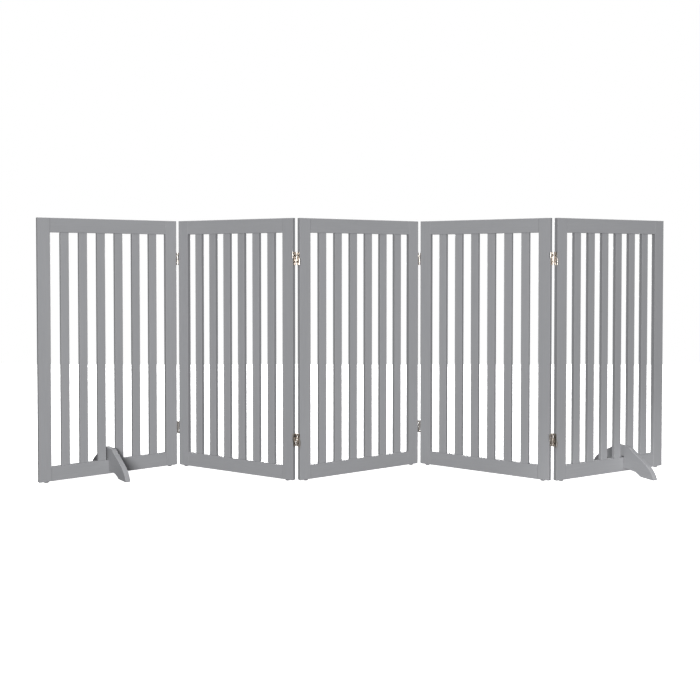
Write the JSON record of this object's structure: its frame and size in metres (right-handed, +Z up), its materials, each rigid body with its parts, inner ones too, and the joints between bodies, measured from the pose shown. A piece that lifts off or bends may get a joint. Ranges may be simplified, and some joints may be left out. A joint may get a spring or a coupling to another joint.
{
  "type": "folding pet gate",
  "caption": "Free-standing folding pet gate: slatted wooden panels in a zig-zag, joined by double-action hinges, with lift-off support feet.",
  "frame": {"origin": "on the floor, under the middle of the bounding box of the gate as it stands in the picture", "axes": "+X along the gate, from the left end to the right end in the picture; +Y away from the camera side, through the gate; +Z up"},
  "size_m": [2.2364, 0.333, 0.914],
  "materials": {
    "painted_wood": "satin mid-grey paint over wood",
    "nickel": "nickel plated steel, satin bright"
  },
  "bodies": {
    "panel_3": {"panel_3_stile_left": "painted_wood", "panel_3_stile_right": "painted_wood", "panel_3_rail_bottom": "painted_wood", "panel_3_rail_top": "painted_wood", "panel_3_slats": "painted_wood", "hinge_3_low_leaf_left": "nickel", "hinge_2_low_leaf_right": "nickel", "hinge_3_high_leaf_left": "nickel", "hinge_2_high_leaf_right": "nickel"},
    "panel_2": {"panel_2_stile_left": "painted_wood", "panel_2_stile_right": "painted_wood", "panel_2_rail_bottom": "painted_wood", "panel_2_rail_top": "painted_wood", "panel_2_slats": "painted_wood", "hinge_2_low_leaf_left": "nickel", "hinge_1_low_leaf_right": "nickel", "hinge_2_high_leaf_left": "nickel", "hinge_1_high_leaf_right": "nickel"},
    "panel_1": {"panel_1_stile_left": "painted_wood", "panel_1_stile_right": "painted_wood", "panel_1_rail_bottom": "painted_wood", "panel_1_rail_top": "painted_wood", "panel_1_slats": "painted_wood", "hinge_1_low_leaf_left": "nickel", "hinge_1_high_leaf_left": "nickel"},
    "panel_4": {"panel_4_stile_left": "painted_wood", "panel_4_stile_right": "painted_wood", "panel_4_rail_bottom": "painted_wood", "panel_4_rail_top": "painted_wood", "panel_4_slats": "painted_wood", "hinge_4_low_leaf_left": "nickel", "hinge_3_low_leaf_right": "nickel", "hinge_4_high_leaf_left": "nickel", "hinge_3_high_leaf_right": "nickel"},
    "panel_5": {"panel_5_stile_left": "painted_wood", "panel_5_stile_right": "painted_wood", "panel_5_rail_bottom": "painted_wood", "panel_5_rail_top": "painted_wood", "panel_5_slats": "painted_wood", "hinge_4_low_leaf_right": "nickel", "hinge_4_high_leaf_right": "nickel"},
    "hinge_1_straps_lower": {"hinge_1_low_strap_lower": "nickel", "hinge_1_high_strap_lower": "nickel"},
    "hinge_1_straps_upper": {"hinge_1_low_strap_upper": "nickel", "hinge_1_high_strap_upper": "nickel"},
    "hinge_2_straps_upper": {"hinge_2_low_strap_upper": "nickel", "hinge_2_high_strap_upper": "nickel"},
    "hinge_2_straps_lower": {"hinge_2_low_strap_lower": "nickel", "hinge_2_high_strap_lower": "nickel"},
    "hinge_3_straps_upper": {"hinge_3_low_strap_upper": "nickel", "hinge_3_high_strap_upper": "nickel"},
    "hinge_3_straps_lower": {"hinge_3_low_strap_lower": "nickel", "hinge_3_high_strap_lower": "nickel"},
    "hinge_4_straps_lower": {"hinge_4_low_strap_lower": "nickel", "hinge_4_high_strap_lower": "nickel"},
    "hinge_4_straps_upper": {"hinge_4_low_strap_upper": "nickel", "hinge_4_high_strap_upper": "nickel"},
    "foot_1": {"panel_1_foot": "painted_wood"},
    "foot_5": {"panel_5_foot": "painted_wood"}
  },
  "joints": [
    {"name": "joint_2_back_pin_fold", "type": "hinge", "parent": "panel_3", "child": "hinge_2_straps_upper", "pos_m": [-0.22959, -0.11598, 0.457], "axis": [0, 0, -1], "range_deg": [-62.09, 117.91]},
    {"name": "joint_2_front_pin_fold", "type": "hinge", "parent": "hinge_2_straps_upper", "child": "panel_2", "pos_m": [-0.2409, -0.13578, 0.457], "axis": [0, 0, -1], "range_deg": [-175, 0]},
    {"name": "joint_2_cross_strap", "type": "hinge", "parent": "panel_3", "child": "hinge_2_straps_lower", "pos_m": [-0.21739, -0.13525, 0.457], "axis": [0, 0, -1], "range_deg": [-175, 0]},
    {"name": "joint_1_front_pin_fold", "type": "hinge", "parent": "panel_2", "child": "hinge_1_straps_lower", "pos_m": [-0.68664, 0.11898, 0.457], "axis": [0, 0, 1], "range_deg": [-64.2, 82.8]},
    {"name": "joint_1_back_pin_fold", "type": "hinge", "parent": "hinge_1_straps_lower", "child": "panel_1", "pos_m": [-0.69953, 0.13778, 0.457], "axis": [0, 0, 1], "range_deg": [-147, 0]},
    {"name": "joint_1_cross_strap", "type": "hinge", "parent": "panel_2", "child": "hinge_1_straps_upper", "pos_m": [-0.67532, 0.13878, 0.457], "axis": [0, 0, 1], "range_deg": [-147, 0]},
    {"name": "joint_3_front_pin_fold", "type": "hinge", "parent": "panel_3", "child": "hinge_3_straps_upper", "pos_m": [0.21637, 0.13939, 0.457], "axis": [0, 0, -1], "range_deg": [-65.28, 114.72]},
    {"name": "joint_3_back_pin_fold", "type": "hinge", "parent": "hinge_3_straps_upper", "child": "panel_4", "pos_m": [0.22877, 0.15853, 0.457], "axis": [0, 0, -1], "range_deg": [-180, 0]},
    {"name": "joint_3_cross_strap", "type": "hinge", "parent": "panel_3", "child": "hinge_3_straps_lower", "pos_m": [0.20418, 0.15866, 0.457], "axis": [0, 0, -1], "range_deg": [-180, 0]},
    {"name": "joint_4_back_pin_fold", "type": "hinge", "parent": "panel_4", "child": "hinge_4_straps_lower", "pos_m": [0.65964, -0.12064, 0.457], "axis": [0, 0, 1], "range_deg": [-61.2, 91.8]},
    {"name": "joint_4_front_pin_fold", "type": "hinge", "parent": "hinge_4_straps_lower", "child": "panel_5", "pos_m": [0.67043, -0.14072, 0.457], "axis": [0, 0, 1], "range_deg": [-153, 0]},
    {"name": "joint_4_cross_strap", "type": "hinge", "parent": "panel_4", "child": "hinge_4_straps_upper", "pos_m": [0.64724, -0.13977, 0.457], "axis": [0, 0, 1], "range_deg": [-153, 0]},
    {"name": "foot_1_lift", "type": "slide", "parent": "panel_1", "child": "foot_1", "axis": [0, 0, 1], "range_m": [0, 0.06]},
    {"name": "foot_5_lift", "type": "slide", "parent": "panel_5", "child": "foot_5", "axis": [0, 0, 1], "range_m": [0, 0.06]}
  ],
  "couplings": [
    {"joint": "joint_2_cross_strap", "follows": "joint_2_front_pin_fold", "ratio": 1},
    {"joint": "joint_1_cross_strap", "follows": "joint_1_back_pin_fold", "ratio": 1},
    {"joint": "joint_3_cross_strap", "follows": "joint_3_back_pin_fold", "ratio": 1},
    {"joint": "joint_4_cross_strap", "follows": "joint_4_front_pin_fold", "ratio": 1}
  ]
}
